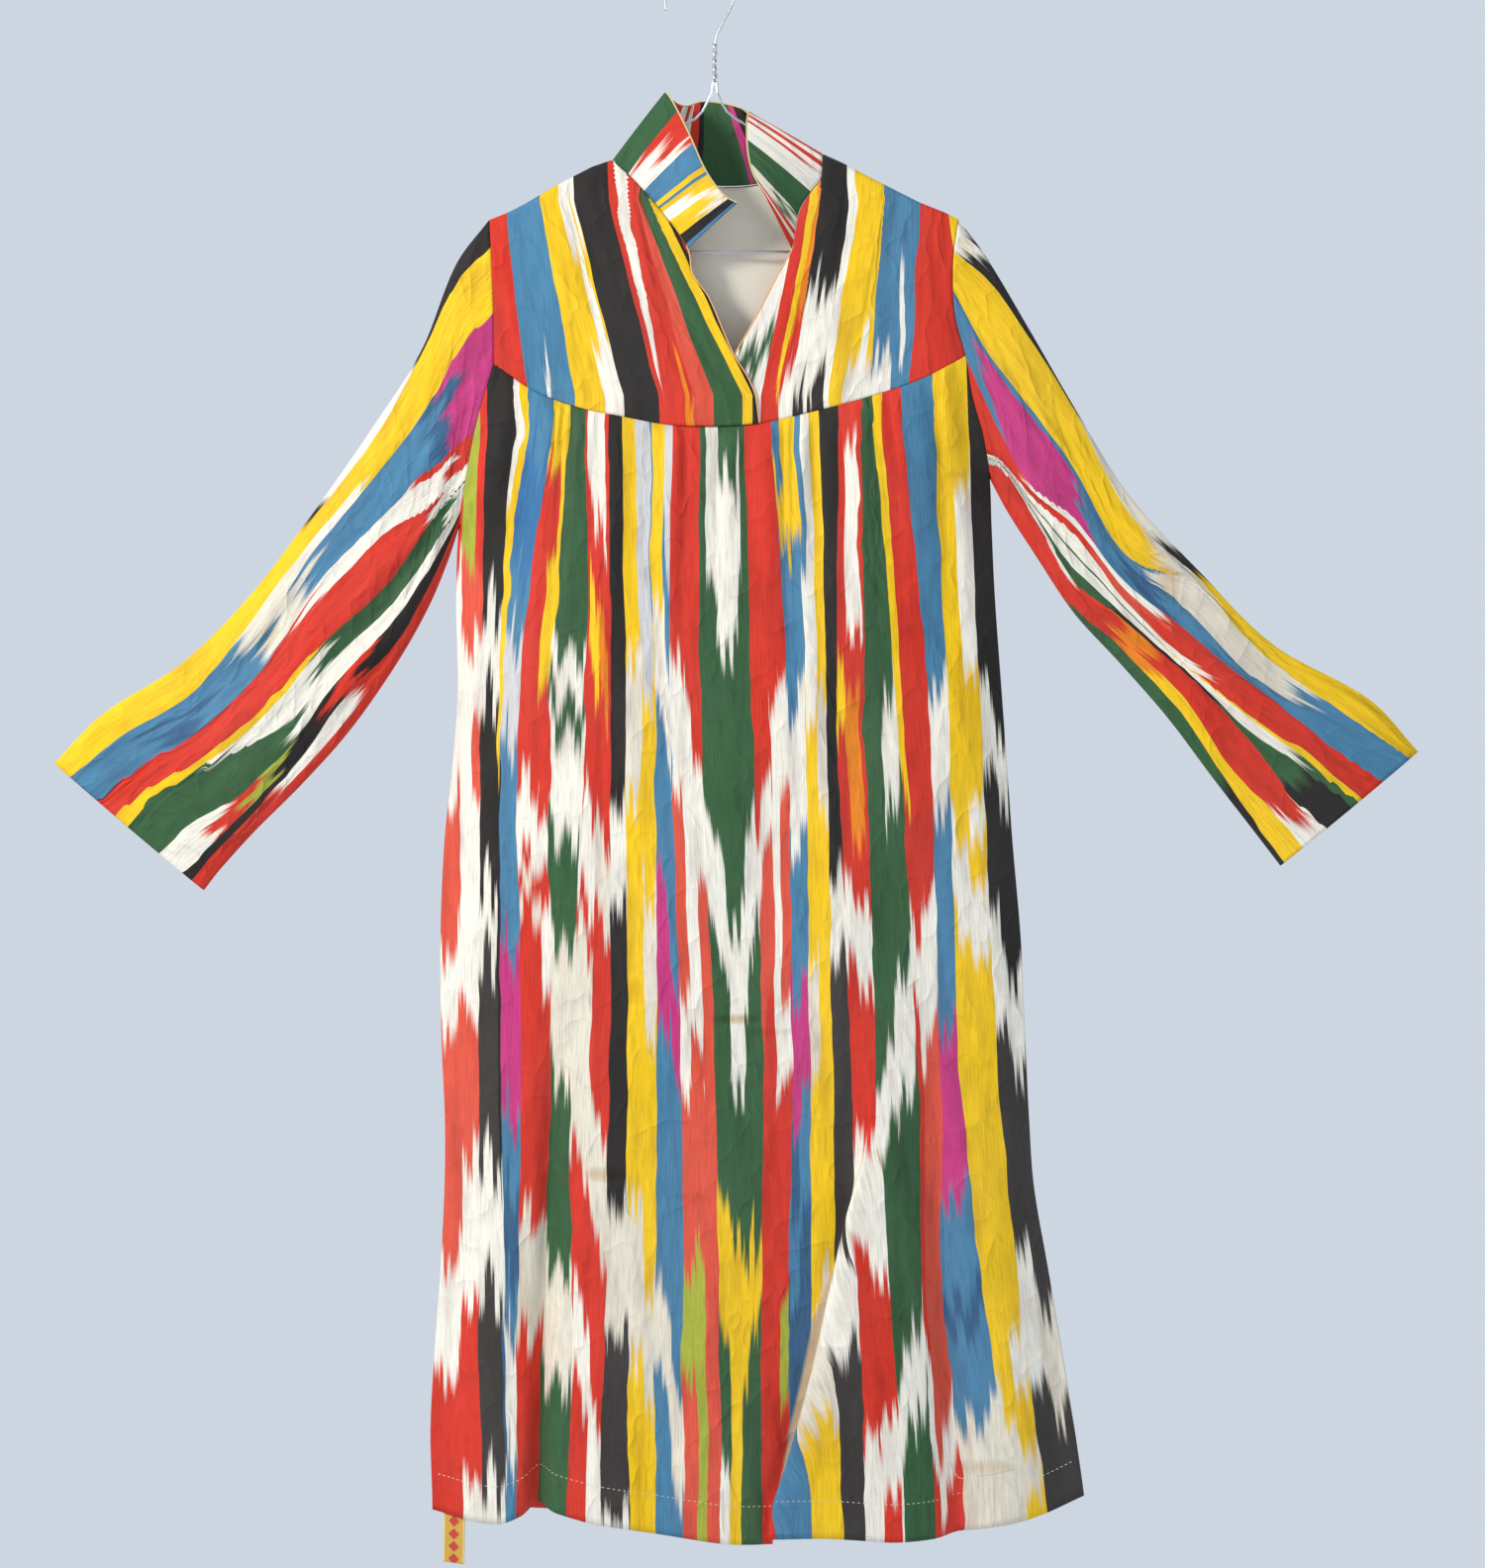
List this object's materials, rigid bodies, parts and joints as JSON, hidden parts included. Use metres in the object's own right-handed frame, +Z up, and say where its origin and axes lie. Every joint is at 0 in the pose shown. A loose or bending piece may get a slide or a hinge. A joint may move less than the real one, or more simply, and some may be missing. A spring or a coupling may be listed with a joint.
{
  "type": "ikat dress on wire hanger",
  "caption": "Loose long-sleeved ikat dress with a stand collar and a gathered yoke front, hung flat on a wire clothes hanger.",
  "frame": {"origin": "the point inside the top of the hanger's hook where a rail touches it", "axes": "+Z up along the hanging dress, -Y out of the dress's front, +X towards the wearer's left"},
  "size_m": [1.165, 0.0877, 1.3781],
  "materials": {
    "ikat_cloth": "silky warp-striped cloth with a soft sheen",
    "lining_cotton": "plain unbleached cotton",
    "hem_tape": "narrow woven tape",
    "hanger_wire": "plain galvanised wire"
  },
  "bodies": {
    "root": {"front_skirt": "ikat_cloth", "back_skirt": "ikat_cloth", "front_yoke_right": "ikat_cloth", "front_yoke_left": "ikat_cloth", "back_yoke": "ikat_cloth", "back_yoke_lining": "lining_cotton", "collar": "ikat_cloth", "sleeve_right": "ikat_cloth", "sleeve_left": "ikat_cloth", "hem_tape_end": "hem_tape", "hanger_hook": "hanger_wire", "hanger_frame": "hanger_wire"}
  },
  "joints": []
}
